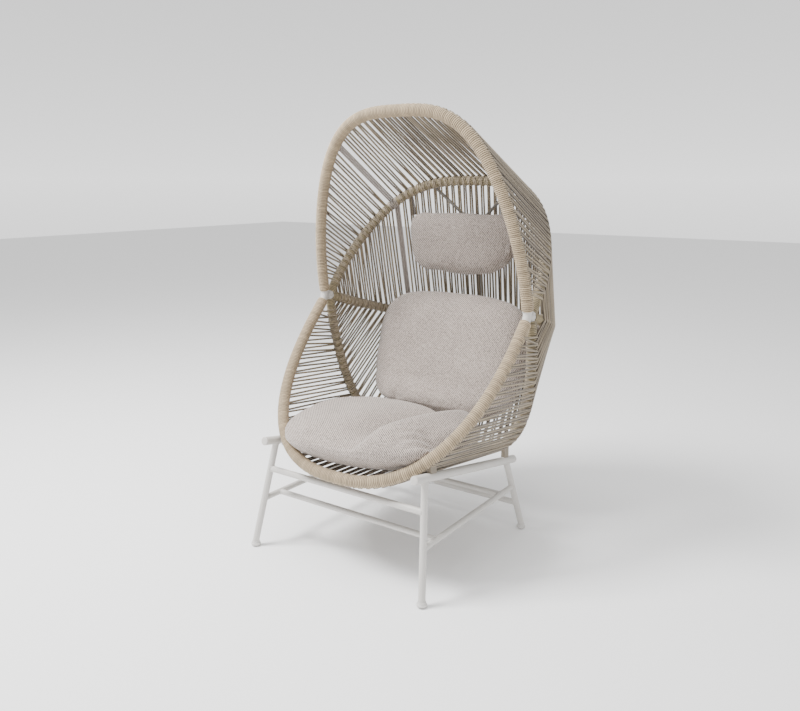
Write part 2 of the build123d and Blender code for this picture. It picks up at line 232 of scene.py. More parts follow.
def piece(name, rings, finish, replaced=(), uv=None, tone=None, loop=False):
    """Smooth mesh over rows of rings, each ring closed on itself.

    rings has the shape (pieces, rows, corners, 3). Each row joins the next, the
    last row joins the first in a loop, and other ends are capped. Faces that
    come out inside out are turned by the sign of the enclosed volume.
    """
    count, rows, corners = rings.shape[:3]
    index = np.arange(count * rows * corners).reshape(count, rows, corners)
    low, high = (index, np.roll(index, -1, 1)) if loop else (index[:, :-1], index[:, 1:])
    quads = [low, np.roll(low, -1, 2), np.roll(high, -1, 2), high]
    quads = np.stack(quads, -1).reshape(-1, 4)
    a, b, c, d = (rings.reshape(-1, 3)[quads[:, k]] for k in range(4))
    middle = rings.reshape(-1, 3).mean(0)
    volume = (np.cross(b - a, c - a) * (a - middle)).sum()
    faces = quads.tolist()
    if not loop:
        faces += index[:, 0, ::-1].tolist() + index[:, -1].tolist()
    if volume < 0:
        faces = [face[::-1] for face in faces]
    mesh = bpy.data.meshes.new(name)
    mesh.from_pydata(rings.reshape(-1, 3).tolist(), [], faces)
    mesh.polygons.foreach_set("use_smooth", np.ones(len(faces), bool))
    if uv is not None:
        corner = np.empty(len(mesh.loops), int)
        mesh.loops.foreach_get("vertex_index", corner)
        flat = uv.reshape(-1, 2)[corner]
        starts = np.empty(len(mesh.polygons), int)
        mesh.polygons.foreach_get("loop_start", starts)
        wide = np.repeat(np.maximum.reduceat(flat[:, 1], starts), np.diff(np.append(starts, len(flat))))
        span = uv[..., 1].max() * corners / (corners - 1)
        flat[:, 1] += np.where(wide - flat[:, 1] > span / 2, span, 0)
        mesh.uv_layers.new(name="UVMap").data.foreach_set("uv", flat.ravel())
    if tone is not None:
        each_row = tone.reshape(count, -1) * np.ones(rows)
        layer = mesh.attributes.new("tone", "FLOAT", "POINT")
        layer.data.foreach_set("value", np.repeat(each_row, corners).astype(np.float32))
    mesh.materials.append(finish.material)
    made = bpy.data.objects.new(name, mesh)
    bpy.context.scene.collection.objects.link(made)
    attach(made, "root")
    if replaced:
        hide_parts(*replaced)
    return made


turns = np.linspace(0, 2 * math.pi, 40, endpoint=False)
flip = np.array([-1, 1, 1])
bar_front, bar_rear = on_leg(front_foot, front_top, 0.272), on_leg(rear_foot, rear_top, 0.104)
sideways = np.array([1.0, 0, 0])
front_leg_way, rear_leg_way = front_top - front_foot, rear_top - rear_foot
front_tie, rear_tie = on_stretcher(-0.374), on_stretcher(0.047)
inward, along = 0.2 * sideways, 0.2 * stretcher_way  # from a joint to a place well inside its bar
joints = [
    (front_foot, front_leg_way, leg_radius, rail_front, rail_way, rail_radius),
    (rear_foot, rear_leg_way, leg_radius, rail_front, rail_way, rail_radius),
    (bar_front - inward, sideways, bar_radius, front_foot, front_leg_way, leg_radius),
    (bar_rear - inward, sideways, bar_radius, rear_foot, rear_leg_way, leg_radius),
    (stretcher_front + along, -stretcher_way, stretcher_radius, front_foot, front_leg_way, leg_radius),
    (stretcher_rear - along, stretcher_way, stretcher_radius, rear_foot, rear_leg_way, leg_radius),
    (front_tie - inward, sideways, tie_radius, stretcher_front, stretcher_way, stretcher_radius),
    (rear_tie - inward, sideways, tie_radius, stretcher_front, stretcher_way, stretcher_radius),
]
lines = np.array([weld_line(*joint, turns) for joint in joints])
lines = np.concatenate([lines, lines * flip]) + [0, centring, 0]
piece("weld_beads", closed_tubes(lines, bead, 8), coat, loop=True)

# ---- Rail plugs ----
# A shallow pressed plug closes each rail end, its edge rounded over. It is
# coated with the frame.


def lathe(centres, axis, profile, sides):
    """Round pieces: each profile point is a radius and a height along the axis, in mm."""
    axis = axis / np.linalg.norm(axis)
    side = np.cross(axis, [0.31, 0.95, 0.05] if abs(axis[1]) < 0.9 else [1.0, 0, 0])
    side /= np.linalg.norm(side)
    other = np.cross(axis, side)
    radius, height = np.array(profile).T / 1000
    turn = np.linspace(0, 2 * math.pi, sides, endpoint=False)
    ring = np.outer(np.cos(turn), side) + np.outer(np.sin(turn), other)
    shape = radius[:, None, None] * ring + height[:, None, None] * axis
    return np.asarray(centres)[:, None, None] + shape


plug_profile = [
    (13.9, -4), (13.9, 0), (14, 0.8), (13.7, 1.7), (12.9, 2.4), (11.5, 2.8), (6, 3.0), (0.4, 3.05),
]  # fmt: skip
tips = []
for tip, way in ((rail_front, -rail_way), (rail_rear, rail_way)):
    centres = np.array([tip, tip * flip]) + [0, centring, 0]
    tips.append(lathe(centres, way, plug_profile, 40))
piece("rail_plugs", np.concatenate(tips), coat, ["rail_end_caps"])

# ---- Glides ----
# A turned foot under each leg: a sleeve, a flared collar and a cone down to a
# small flat sole. Moulded in the frame's colour, slightly more matt.
glide = Finish("glide", 0.6)
where = glide.node("TexCoord", output=3)
fleck = glide.node("TexNoise", None, {"Vector": where, "Scale": 420.0, "Detail": 2.0})
lift = glide.node("SeparateXYZ", None, {0: where}, 2)
scuff = glide.node("TexNoise", None, {"Vector": where, "Scale": 160.0, "Detail": 5.0, "Roughness": 0.7})
grime = (1 - lift.math("MINIMUM", lift * 140, 1.0)) * scuff
glide_pale, glide_worn = (0.60, 0.585, 0.56, 1), (0.30, 0.28, 0.26, 1)
glide.show(
    Base_Color=glide.mix(glide_pale, glide_worn, grime * 0.8),
    Normal=glide.relief(fleck, 0.0002, 0.5),
)
glide_profile = [
    (0.4, 0), (9.4, 0), (10.2, 0.4), (12.8, 2.7), (15.2, 5.0), (15.9, 6.2), (16.0, 7.4),
    (16.0, 9.6), (15.7, 10.6), (14.6, 11.4), (13.3, 11.9), (13.0, 12.6), (13.0, 17.0),
    (12.6, 17.7), (11.8, 18.0), (9.0, 18.0),
]  # fmt: skip
glide_height = 0.018
soles = []
for foot, top in ((front_foot, front_top), (rear_foot, rear_top)):
    middle = on_leg(foot, top, glide_height) * [1, 1, 0]
    soles += [middle, middle * flip]
rings = lathe(np.array(soles) + [0, centring, 0], np.array([0, 0, 1.0]), glide_profile, 48)
piece("glides", rings, glide, ["feet"])

# ---- Saddles and bolts ----
# A moulded taupe block sits on the rail under each hoop; its taupe is darkened
# as painted shade, to read as the shadow under the rim. Hexagon-headed bolts
# of plain stainless steel come up through the rails into the front pair.
moulded = Finish("saddle_nylon_painted_shade", 0.62)
where = moulded.node("TexCoord", output=3)
fleck = moulded.node("TexNoise", None, {"Vector": where, "Scale": 520.0, "Detail": 3.0})
# Painted shade: both tones are dark so the block reads as the shadow under the rim.
moulded.show(
    Base_Color=moulded.mix((0.17, 0.14, 0.105, 1), (0.27, 0.23, 0.175, 1), fleck),
    Roughness=0.5 + 0.2 * fleck,
    Normal=moulded.relief(fleck, 0.0002, 0.5),
)
for name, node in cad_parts.items():
    if name.startswith("saddle_") and name != "saddle_bolts":
        node.data.materials.clear()
        node.data.materials.append(moulded.material)
steel = Finish("stainless", 0.32, Metallic=1.0)
where = steel.node("TexCoord", output=3)
brush = steel.node("TexNoise", None, {"Vector": where, "Scale": 700.0, "Detail": 4.0})
steel.show(
    Base_Color=steel.mix((0.42, 0.42, 0.41, 1), (0.6, 0.6, 0.59, 1), brush),
    Roughness=0.25 + 0.2 * brush,
)
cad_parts["saddle_bolts"].data.materials.clear()
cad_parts["saddle_bolts"].data.materials.append(steel.material)

# ---- Wound hoops ----
# Five bent tubes fan out from the side junctions. Cord is wound closely round
# each from end to end; the front pair is thicker than the three behind.
half_width, junction_height, hub_setback = 0.420, 0.806, 0.022
# each hoop's angle above the rearward level, rise, squareness at the crown and
# at the sides, tube radius, bare length at the junction, and setback
hoops = {
    "hood_rim": (101.0, 0.650, 3.2, 1.6, 0.014, 0.020, 0.0),
    "hood_rear": (52.5, 0.532, 3.0, 1.8, 0.011, 0.034, hub_setback),
    "arm": (-16.8, 0.419, 2.8, 2.1, 0.011, 0.034, hub_setback),
    "seat_rear": (-80.4, 0.522, 5.0, 2.0, 0.011, 0.034, hub_setback),
    "seat_rim": (-133.7, 0.668, 2.5, 2.4, 0.014, 0.020, 0.0),
}
front_hoops = ("hood_rim", "seat_rim")
cord_radius, wound_pitch, groove = 0.00275, 0.0059, 0.0026
sleeve_gap = 0.0002
lead = 0.020  # straight start of every hoop past its stub
hub_end = 0.013  # the rear hoops' cord runs on over their stubs to the hub


def hoop_line(angle, rise, crown, side, bare, setback, start):
    """Fine middle line of a hoop, its length at each point and its plane's normal.

    It begins and ends at the start's distance from the junction. In its plane
    it is a superellipse: across is the half width times the cosine to the power
    2/crown, out is the rise times the sine to the power 2/side. Last comes how
    far the winding reaches over the hoop's bare end.
    """
    turn = np.linspace(0, math.pi, 6001)
    across = -half_width * np.sign(np.cos(turn)) * np.abs(np.cos(turn)) ** (2 / crown)
    out = bare + lead + (rise - bare - lead) * np.abs(np.sin(turn)) ** (2 / side)
    across = np.concatenate([[-half_width], across, [half_width]])
    out = np.concatenate([[start], out, [start]])
    tilt = math.radians(angle)
    outward = np.array([0, math.cos(tilt), math.sin(tilt)])
    line = np.array([0, setback + centring, junction_height]) + np.outer(out, outward)
    line[:, 0] = across
    length = np.concatenate([[0], np.cumsum(np.linalg.norm(np.diff(line, axis=0), axis=1))])
    return line, length, np.array([0, -math.sin(tilt), math.cos(tilt)]), bare - start


def at(hoop, places):
    """Points and directions of a hoop's middle line at lengths along it."""
    line, length = hoop_lines[hoop][:2]
    ahead = np.clip(places + 0.002, 0, length[-1])
    behind = np.clip(places - 0.002, 0, length[-1])
    point, high, low = (
        np.stack([np.interp(p, length, line[:, k]) for k in range(3)], -1) for p in (places, ahead, behind)
    )
    way = high - low
    return point, way / np.linalg.norm(way, axis=-1)[..., None]


def wound(hoop, radius, pitch, depth, sides, seed):
    """Rings of a tube wound with cord, and how many turns lie below each ring.

    Every turn is a round ridge: the radius falls by depth * |2f - 1| ** 2.2
    between ridges, f being the place within the turn. The rings lean half a
    pitch to one side, as a helix does.
    """
    _, length, normal, _ = hoop_lines[hoop]
    count = int(length[-1] / pitch)
    turn = np.arange(count * 6 + 1) / 6
    loose = np.random.default_rng(seed).normal(0, 1, (2, count + 2))
    wander = np.interp(turn, np.arange(count + 2), loose[0])
    swell = np.interp(turn, np.arange(count + 2), loose[1])
    angle = np.linspace(0, 2 * math.pi, sides, endpoint=False)
    place = (turn + 0.04 * wander)[:, None] * length[-1] / count - pitch / 4 * np.cos(angle)
    point, way = at(hoop, np.clip(place, 0, length[-1]))
    inward = np.cross(way, normal)
    hill = np.abs(2 * (turn % 1) - 1) ** 2.2
    shoulder = np.exp(-np.minimum(turn, turn[-1] - turn) * 2.5)
    reach = (radius - depth * hill + 0.00008 * swell - 0.0035 * shoulder)[:, None, None]
    rings = point + reach * (np.cos(angle)[:, None] * normal + np.sin(angle)[:, None] * inward)
    uv = np.stack(np.broadcast_arrays(turn[:, None], angle * radius / pitch), -1)
    return rings[None], uv[None]


def wound_finish(name, pale, dark, band_contrast):
    """Braided cord in close turns: pale ridges, grooves darkened by painted shade, tone bands, plait."""
    finish = Finish(name, 0.82, **{"Sheen Weight": 0.25, "Sheen Roughness": 0.5})
    spread = finish.node("UVMap")
    turn = finish.node("SeparateXYZ", None, {0: spread})
    round_it = finish.node("SeparateXYZ", None, {0: spread}, 1)
    place = turn.math("FRACT", turn)
    off = abs(place * 2 - 1)
    each = finish.node("TexWhiteNoise", {"noise_dimensions": "1D"}, {"W": turn.math("FLOOR", turn)})
    band = finish.node("TexNoise", {"noise_dimensions": "1D"}, {"W": turn * 0.09, "Detail": 2.0})
    slant = round_it * 2.2 + off * 0.5
    plait = abs(slant.math("FRACT", slant) * 2 - 1)
    where = finish.node("TexCoord", output=3)
    fuzz = finish.node("TexNoise", None, {"Vector": where, "Scale": 1500.0, "Detail": 2.0})
    # Painted shade: this mask falls to 0 in the grooves between turns, where the colour goes near-black.
    groove_shade_mask = 1 - off**2.3
    share = groove_shade_mask * (0.66 + 0.26 * each + band_contrast * (band - 0.5)) + 0.06 * plait + 0.12 * fuzz
    finish.show(
        Base_Color=finish.mix(dark, pale, share),
        Roughness=0.9 - 0.12 * plait,
        Normal=finish.relief(plait * 0.4 + fuzz * 0.6, 0.0005, 0.5),
    )
    return finish


hoop_lines = {}
# The near-black dark ends are reached in the grooves between turns, as painted shade.
pale_wind = wound_finish("wound_pale", (0.505, 0.39, 0.25, 1), (0.012, 0.008, 0.004, 1), 0.5)
dull_wind = wound_finish("wound_dull", (0.35, 0.285, 0.17, 1), (0.012, 0.009, 0.005, 1), 0.9)
wrap_radius = {}
for seed, (hoop, (angle, rise, crown, side, tube, bare, setback)) in enumerate(hoops.items()):
    start = bare if hoop in front_hoops else hub_end
    hoop_lines[hoop] = hoop_line(angle, rise, crown, side, bare, setback, start)
    wrap_radius[hoop] = tube + sleeve_gap + 2 * cord_radius
    sides, finish = (24, pale_wind) if hoop in front_hoops else (20, dull_wind)
    rings, uv = wound(hoop, wrap_radius[hoop], wound_pitch, groove, sides, seed)
    piece(hoop + "_winding", rings, finish, [hoop + "_wrap"], uv=uv)

# ---- Side junctions ----
# Where the hoops meet the tube is bare: a bent elbow joins the two rims, and
# a short link behind it carries the stubs of the three rear hoops.


def open_tubes(lines, radii, sides):
    """Rings square to open lines, with a radius for each point of a line."""
    way = np.gradient(lines, axis=1)
    way /= np.linalg.norm(way, axis=2)[..., None]
    first = np.cross(way, sideways)
    first /= np.linalg.norm(first, axis=2)[..., None]
    second = np.cross(way, first)
    turn = np.linspace(0, 2 * math.pi, sides, endpoint=False)
    reach = np.asarray(radii)[:, None, None]
    ring = np.cos(turn)[:, None] * first[:, :, None] + np.sin(turn)[:, None] * second[:, :, None]
    return lines[:, :, None] + reach * ring


def leaving(angle, reach, setback):
    """Point at a reach from the junction along a hoop's start."""
    tilt = math.radians(angle)
    return np.array([half_width, setback + reach * math.cos(tilt), junction_height + reach * math.sin(tilt)])


front_tube, rear_tube = 0.014, 0.011
elbow_reach, elbow_bend = 0.024, 0.004  # how far its ends lie out, and its bend in front
share = np.linspace(0, 1, 21)[:, None]
upper, lower = (leaving(hoops[hoop][0], elbow_reach, 0) for hoop in front_hoops)
corner = np.array([half_width, -elbow_bend, junction_height])
elbow = (1 - share) ** 2 * upper + 2 * share * (1 - share) * corner + share**2 * lower
elbows = np.stack([elbow, elbow * flip]) + [0, centring, 0]
rings = open_tubes(elbows, np.full(len(share), front_tube), 36)
piece("elbows", rings, coat, ["junction_left", "junction_right"])
link_start, stub_reach = 0.006, 0.038
stubs = [(leaving(0, link_start, 0), leaving(0, hub_setback + rear_tube, 0))]
for hoop in ("hood_rear", "arm", "seat_rear"):
    stubs.append([leaving(hoops[hoop][0], reach, hub_setback) for reach in (0, stub_reach)])
share = np.linspace(0, 1, 9)[:, None]
lines = np.array([start + share * (end - start) for start, end in stubs])
lines = np.concatenate([lines, lines * flip]) + [0, centring, 0]
radii = rear_tube * np.array([0.55, 0.9, 1, 1, 1, 1, 1, 0.9, 0.55])
piece("hub_stubs", open_tubes(lines, radii, 28), coat)

# ---- Strung cords ----
# One long cord zigzags between neighbouring hoops: it crosses over the outside
# of a hoop, takes a turn round it and comes back. Braided outdoor yarn, taupe.
strands, strand_radius = 114, 0.0035
turn_radius = 0.0023  # the cord is pulled thin where it goes round a hoop
first_cord, lean, slack = 0.02, 0.24, 0.11  # the last two as shares of a cord's room
splice_room, plait_length = 0.58, 0.006
rim_travel, rear_travel = 0.0058, -0.020  # way along the hoop in one turn
pod_middle = np.array([0, -0.03, 0.85])


def strung(near, far, lean, fan, spliced, seed):
    """Middle lines of one panel's strands, each ending in a turn round its hoops.

    A strand touches the outer side of both hoops. There it goes on round the
    hoop: its angle grows from 0 to nearly a full turn at a steady distance
    from the hoop's middle line, and it moves a little way along the hoop. Where
    the cord is spliced, three strands lie side by side. The fan moves the far
    ends by a sine of their place, so that they spread.
    """
    number = np.arange(strands)
    sway = lean * (-1.0) ** number
    stray = np.random.default_rng(seed).normal(0, slack, (2, strands))
    place = number + 0.5 + stray + np.stack([sway, -sway])
    beside = number - spliced
    place = np.where(np.abs(beside) <= 1, spliced + 0.5 + splice_room * beside, place)
    share = first_cord + place / strands * (1 - 2 * first_cord)
    share[1] += fan * np.sin(2 * math.pi * share[1])
    ends, ways = [], []
    for hoop, places in zip((near, far), share):
        _, length, _, covered = hoop_lines[hoop]
        point, way = at(hoop, covered + places * (length[-1] - 2 * covered))
        ends.append(point)
        ways.append(way)
    turn = np.array([0, 12, 28, 46, 66, 90, 112, 135, 158, 180, 202, 225, 248, 272, 296, 322]) * math.pi / 180
    on_top = np.array([0.6] + [0.4] * 11 + [0.2, 0, -1.2, -3.0]) / 1000
    under = np.array([-1, -1.3, -2.2, -3.6, -4.8] + [-5.4] * 11) / 1000
    lines = []
    for k, hoop in enumerate((near, far)):
        towards = ends[1 - k] - ends[k]
        out = towards - (towards * ways[k]).sum(1)[:, None] * ways[k]
        out /= np.linalg.norm(out, axis=1)[:, None]
        over = np.cross(ways[k], out)
        over *= np.sign((over * (ends[k] - pod_middle)).sum(1))[:, None]
        if hoop in front_hoops:
            reach, travel = wrap_radius[hoop] + under, rim_travel * np.where(number % 2 == k, 1.0, -1.0)
        else:
            reach, travel = wrap_radius[hoop] + on_top, np.full(strands, rear_travel)
        side = travel[:, None] * turn / (2 * math.pi)
        lines.append(
            ends[k][:, None]
            + (reach * np.cos(turn))[:, None] * over[:, None]
            - (reach * np.sin(turn))[:, None] * out[:, None]
            + side[..., None] * ways[k][:, None]
        )
    turned = np.concatenate([turn[::-1], turn]) > 0.4
    lines = np.concatenate([lines[0][:, ::-1], lines[1]], 1)
    return lines, np.repeat(ways[0][:, None], len(turned), 1), turned


def cord_tubes(lines, beside, radius, sides):
    """Rings round strands, square to each line, started from the hoop's direction.

    The radius is given for each point of a line: turns are pulled thin.
    """
    way = np.gradient(lines, axis=1)
    way /= np.linalg.norm(way, axis=2)[..., None]
    first = beside - (beside * way).sum(2)[..., None] * way
    first /= np.linalg.norm(first, axis=2)[..., None]
    second = np.cross(way, first)
    turn = np.linspace(0, 2 * math.pi, sides, endpoint=False)
    ring = np.cos(turn)[:, None] * first[:, :, None] + np.sin(turn)[:, None] * second[:, :, None]
    length = np.concatenate(
        [np.zeros((len(lines), 1)), np.cumsum(np.linalg.norm(np.diff(lines, axis=1), axis=2), 1)], 1
    )
    uv = np.stack(np.broadcast_arrays(length[..., None] / plait_length, turn / (2 * math.pi)), -1)
    return lines[:, :, None] + radius[:, None, None] * ring, uv


def cord_finish(name, pale, grey, dark):
    """Round plaited cord: two crossing sets of slanted yarns, with painted shade
    darkening the flanks that face the neighbouring strands.

    The tone attribute sets each strand's tone: 0 to 1 along a strand, a paler
    painted highlight on turns, and the grey of a splice above 1.8.
    """
    finish = Finish(name, 0.85, **{"Sheen Weight": 0.2, "Sheen Roughness": 0.5})
    spread = finish.node("UVMap")
    length = finish.node("SeparateXYZ", None, {0: spread})
    around = finish.node("SeparateXYZ", None, {0: spread}, 1)
    left = length.math("SINE", (length + around * 4) * math.pi)
    right = length.math("SINE", (length - around * 4) * math.pi)
    plait = abs(left * right)
    each = finish.node("Attribute", {"attribute_name": "tone"}, None, 2)
    where = finish.node("TexCoord", output=3)
    stain = finish.node("TexNoise", None, {"Vector": where, "Scale": 14.0, "Detail": 3.0})
    # Painted shade: the flanks that face the neighbouring strands are darkened.
    beside = around.math("COSINE", around * (2 * math.pi))
    share = 0.56 + 0.05 * plait + 0.32 * each + 0.3 * (stain - 0.5) - 0.64 * beside**2
    greyed = finish.node("TexWhiteNoise", {"noise_dimensions": "1D"}, {"W": each * 977})
    spliced = each.math("GREATER_THAN", each, 1.8)
    finish.show(
        Base_Color=finish.mix(dark, finish.mix(pale, grey, greyed * 0.4 + spliced), share),
        Normal=finish.relief(plait, 0.0004, 0.5),
    )
    return finish


# The near-black dark end is reached on the strand flanks, as painted shade between neighbouring strands.
taupe = cord_finish("cord_taupe", (0.40, 0.32, 0.205, 1), (0.36, 0.315, 0.285, 1), (0.032, 0.024, 0.018, 1))
turn_painted_highlight, splice_tone = 1.2, 2.0
# each panel's near and far hoop, lean, fan, and the strand that is spliced
panels = {
    "canopy_cords": ("hood_rear", "hood_rim", -lean, 0.05, 30),
    "upper_back_cords": ("hood_rear", "arm", -lean, -0.008, 31),
    "lower_back_cords": ("arm", "seat_rear", lean, -0.025, 88),
    "seat_cords": ("seat_rear", "seat_rim", -lean, 0.027, 61),
}
for seed, (name, (near, far, sway, fan, spliced)) in enumerate(panels.items()):
    lines, beside, turned = strung(near, far, sway, fan, spliced, 60 + seed)
    rings, uv = cord_tubes(lines, beside, np.where(turned, turn_radius, strand_radius), 8)
    # Painted highlight: turns on a hoop get a paler tone than the shaded free span of the cord.
    tone = np.random.default_rng(40 + seed).random(strands)[:, None] * (1 - turned) + turn_painted_highlight * turned
    tone[spliced - 1 : spliced + 2] = splice_tone
    piece(name.replace("_cords", "_strands"), rings, taupe, [name], uv=uv, tone=tone)

# ---- Back brace ----
# A fork of slim tube stands behind the upper back and stiffens it. Its darker
# grey-beige coat is painted shade for the shadow behind the upper back. It is
# lashed to the hoops.
brace = Finish("brace_coat_painted_shade", 0.55)
where = brace.node("TexCoord", output=3)
grain = brace.node("TexNoise", None, {"Vector": where, "Scale": 1100.0, "Detail": 3.0})
# Painted shade: the brace's colour is darkened for the shadow it stands in behind the back.
brace.show(
    Base_Color=brace.mix((0.14, 0.127, 0.112, 1), (0.24, 0.22, 0.195, 1), grain),
    Roughness=0.42 + 0.25 * grain,
    Normal=brace.relief(grain, 0.0002, 0.6),
)
for name in ("brace_spine", "brace_arm_left", "brace_arm_right"):
    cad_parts[name].data.materials.clear()
    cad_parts[name].data.materials.append(brace.material)

# ---- Cushions ----
# Loose fibre-filled pads: a deep seat, a tall back and a small head pillow.
# Two fabric faces are sewn together round the edge, with the seam turned in.


def pad_rings(width, height, thickness, outline, edge, rows, corners):
    """Crowned pad lying in XY: superellipse outlines stacked from pole to pole.

    The outline shrinks by the cosine of the lift to the power 2/edge while
    the level follows its sine to the power 2/edge.
    """
    lift = np.linspace(-math.pi / 2, math.pi / 2, rows + 2)[1:-1]
    turn = np.linspace(0, 2 * math.pi, corners, endpoint=False)
    shrink = np.cos(lift) ** (2 / edge)
    level = thickness / 2 * np.sign(lift) * np.abs(np.sin(lift)) ** (2 / edge)
    x = width / 2 * np.sign(np.cos(turn)) * np.abs(np.cos(turn)) ** (2 / outline)
    y = height / 2 * np.sign(np.sin(turn)) * np.abs(np.sin(turn)) ** (2 / outline)
    rings = np.stack(np.broadcast_arrays(np.outer(shrink, x), np.outer(shrink, y), level[:, None]), -1)
    return rings[None]


def fabric_finish(name, pale, dark):
    """Heathered twill: slanted ribs crossed by upright yarns, slubs and a soft sheen."""
    finish = Finish(name, 0.9, **{"Sheen Weight": 0.3, "Sheen Roughness": 0.45})
    where = finish.node("TexCoord", output=3)
    cross = {"Vector": where, "Scale": 70.0, "Distortion": 1.4, "Detail": 2.0, "Detail Scale": 2.5}
    rib = finish.node("TexWave", {"bands_direction": "DIAGONAL"}, cross)
    yarn = finish.node("TexWave", {"bands_direction": "X"}, {**cross, "Scale": 64.0})
    slub = finish.node("TexNoise", None, {"Vector": where, "Scale": 210.0, "Detail": 4.0, "Roughness": 0.75})
    cloud = finish.node("TexNoise", None, {"Vector": where, "Scale": 11.0, "Detail": 3.0})
    fibre = finish.node("TexWave", {"bands_direction": "DIAGONAL"}, {**cross, "Scale": 420.0})
    weave = rib * 0.6 + yarn * 0.4
    share = -1.24 + 1.35 * weave + 2.2 * slub + 0.1 * fibre + 0.22 * (cloud - 0.5)
    finish.show(
        Base_Color=finish.mix(dark, pale, share),
        Normal=finish.relief(weave * 0.5 + slub * 0.4 + fibre * 0.1, 0.0012, 0.7),
    )
    return finish


canvas = fabric_finish("upholstery", (0.555, 0.475, 0.42, 1), (0.045, 0.034, 0.030, 1))


swell_frames = 20


def stuffed(made, voxel, pressure, cap):
    """Swells a pad as cloth under air pressure, with no gravity, then evens it.

    A point's move is the cap times the hyperbolic tangent of how far the
    cloth took it in caps, so no point goes further than the cap.
    """
    bpy.context.view_layer.objects.active = made
    remesh = made.modifiers.new("remesh", "REMESH")
    remesh.mode, remesh.voxel_size, remesh.use_smooth_shade = "VOXEL", voxel, True
    bpy.ops.object.modifier_apply(modifier="remesh")
    before = np.empty(len(made.data.vertices) * 3)
    made.data.vertices.foreach_get("co", before)
    cloth = made.modifiers.new("cloth", "CLOTH")
    cloth.settings.use_pressure = True
    cloth.settings.uniform_pressure_force = pressure
    cloth.settings.effector_weights.gravity = 0
    cloth.settings.quality = 4
    for step in range(1, swell_frames + 1):
        bpy.context.scene.frame_set(step)
    bpy.ops.object.modifier_apply(modifier="cloth")
    bpy.context.scene.frame_set(1)
    after = np.empty(len(before))
    made.data.vertices.foreach_get("co", after)
    moved = (after - before).reshape(-1, 3)
    far = np.linalg.norm(moved, axis=1)[:, None]
    moved *= cap * np.tanh(far / cap) / np.maximum(far, 1e-9)
    made.data.vertices.foreach_set("co", before + moved.ravel())
    for kind, setting, level in (("SMOOTH", "iterations", 12), ("SUBSURF", "levels", 1)):
        setattr(made.modifiers.new("even", kind), setting, level)
        bpy.ops.object.modifier_apply(modifier="even")


def placed(made, centre, lean, size, shape):
    """Stretches the pad to its size, shapes it in its plane, tilts and moves it.

    The seam is a groove round the middle level: points move in by 1.2 mm
    times e to the minus square of their level.
    """
    spot = np.empty(len(made.data.vertices) * 3)
    made.data.vertices.foreach_get("co", spot)
    spot = spot.reshape(-1, 3)
    low, high = spot.min(0), spot.max(0)
    spot = (spot - (low + high) / 2) * size / (high - low)
    seam = 0.0012 * np.exp(-((spot[:, 2] / 0.0035) ** 2))
    spot[:, :2] -= seam[:, None] * spot[:, :2] / np.linalg.norm(spot[:, :2], axis=1)[:, None]
    spot = shape(spot)
    turn = math.radians(lean)
    tilt = np.array([[1, 0, 0], [0, math.cos(turn), -math.sin(turn)], [0, math.sin(turn), math.cos(turn)]])
    made.data.vertices.foreach_set("co", (spot @ tilt.T + centre).ravel())
    made.data.update()


def seat_shape(spot):
    """Sags between the sides, with a crease from the back towards the front.

    The sag follows one minus the square of x, and grows towards the front left.
    The crease is a bell curve of the distance from its line, wide at the left
    and narrow at the right, with a fine pleat along it; it fades towards the
    front and the back edge. A dent at the right is where the pad meets the rim,
    and small waves run over the front corner there.
    """
    x, y, z = spot.T
    left, front = np.clip(0.6 - x / 0.5, 0, 1), np.clip(0.5 - y / 0.5, 0, 1)
    stretch = 1 + 0.10 * np.clip(-x / 0.32, 0, 1) * np.clip(-y / 0.25, 0, 1)
    x, y = x + 0.018 * np.clip(-x / 0.1 - 2, 0, 1) * front, y * stretch
    top, under = np.clip(z / 0.025, 0, 1), np.clip(0.5 - z / 0.14, 0, 1)
    z = z - 0.008 - (0.006 + 0.014 * under) * np.clip(1 - (x / 0.33) ** 2, 0, 1) - 0.026 * left * front
    z = z + 0.014 * np.clip(-x / 0.1 - 2.2, 0, 1)
    away = x - 0.12 - 0.25 * y
    slope = np.exp(-((away / np.where(away < 0, 0.10, 0.034)) ** 2)) * np.clip((y + 0.30) / 0.20, 0, 1)
    slope = slope * (1 - 0.5 * np.clip((y - 0.10) / 0.10, 0, 1))
    pleat = np.exp(-((away / 0.007) ** 2)) * np.clip((y + 0.24) / 0.1, 0, 1) * np.clip((0.2 - y) / 0.08, 0, 1)
    z = z - 0.062 * top * slope - 0.005 * top * pleat
    z = z + 0.023 * top * np.exp(-(((away - 0.07) / 0.055) ** 2))
    dent = np.exp(-(((y + 0.11) / 0.045) ** 2)) * np.clip((x - 0.22) / 0.09, 0, 1)
    x, z = x - 0.020 * dent, z - 0.026 * dent * top
    corner = np.exp(-(((x - 0.25) / 0.05) ** 2) - ((y + 0.17) / 0.06) ** 2)
    z = z + 0.0032 * corner * np.sin((0.8 * x - 0.6 * y) * 2 * math.pi / 0.026)
    return np.stack([x, y, z], 1)


def back_shape(spot):
    """Nearly even crown, a faint dip at the middle, the foot pushed forward."""
    x, y, z = spot.T
    front = np.clip(z / 0.05, 0, 1)
    z = z - 0.008 * front * np.exp(-((x / 0.16) ** 2) - ((y / 0.12) ** 2))
    z = z + 0.032 * np.clip((-y - 0.10) / 0.1, 0, 1) ** 1.5
    return np.stack([x, y, z], 1)


def pillow_shape(spot):
    """Lower edge bows down at its middle; the lower corners draw in."""
    x, y, z = spot.T
    y = y - 0.010 * np.exp(-((x / 0.12) ** 2)) * np.clip(-y / 0.1, 0, 1)
    low = np.clip(-y / 0.11, 0, 1.1) ** 1.6
    x = x * (1 - 0.05 * low) - 0.056 * low * np.clip((x - 0.10) / 0.10, 0, 1) - 0.020
    return np.stack([x, y, z], 1)


